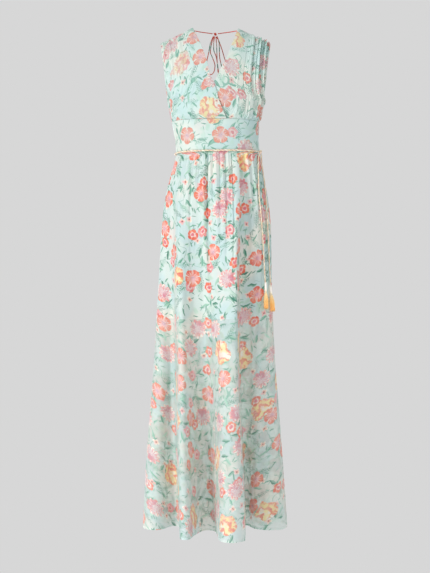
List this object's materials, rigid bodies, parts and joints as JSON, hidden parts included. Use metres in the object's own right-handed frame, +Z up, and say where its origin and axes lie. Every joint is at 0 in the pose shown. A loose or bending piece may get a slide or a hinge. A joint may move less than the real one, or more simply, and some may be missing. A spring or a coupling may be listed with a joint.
{
  "type": "maxi dress",
  "caption": "Sleeveless floor-length wrap-front dress in floral chiffon, hollow as worn, with a midriff band, half-length lining, nape bow and a tasselled cord belt.",
  "frame": {"origin": "midway between the shoulders, level with the tops of the shoulder seams at the neck, where the wearer holds the dress up", "axes": "+Z up, the front faces -Y, +X towards the wearer's left side"},
  "size_m": [0.4072, 0.4437, 1.4073],
  "materials": {
    "printed_chiffon": "mint crepe chiffon with a coral, pink, yellow and green floral print, matt, made up opaque",
    "sheer_chiffon": "the same printed chiffon as a single sheer layer",
    "lining": "plain mint lining, opaque, soft sheen",
    "tie_fabric": "narrow tubes of the printed chiffon, coral with green",
    "belt_cord": "twisted viscose cord, cream and peach",
    "tassel_thread": "fine viscose threads, cream shading to amber"
  },
  "bodies": {
    "root": {"front_right": "printed_chiffon", "front_left": "printed_chiffon", "back_right": "printed_chiffon", "back_left": "printed_chiffon", "midriff_front": "printed_chiffon", "midriff_back": "printed_chiffon", "skirt_front": "sheer_chiffon", "skirt_back": "sheer_chiffon", "lining_front": "lining", "lining_back": "lining", "belt": "belt_cord", "belt_knot": "belt_cord", "belt_end_front": "belt_cord", "belt_end_back": "belt_cord", "tassel_front": "tassel_thread", "tassel_back": "tassel_thread", "bow_knot": "tie_fabric", "tie_left": "tie_fabric", "tie_right": "tie_fabric", "bow_loop_left": "tie_fabric", "bow_loop_right": "tie_fabric", "bow_end_left": "tie_fabric", "bow_end_right": "tie_fabric"}
  },
  "joints": []
}
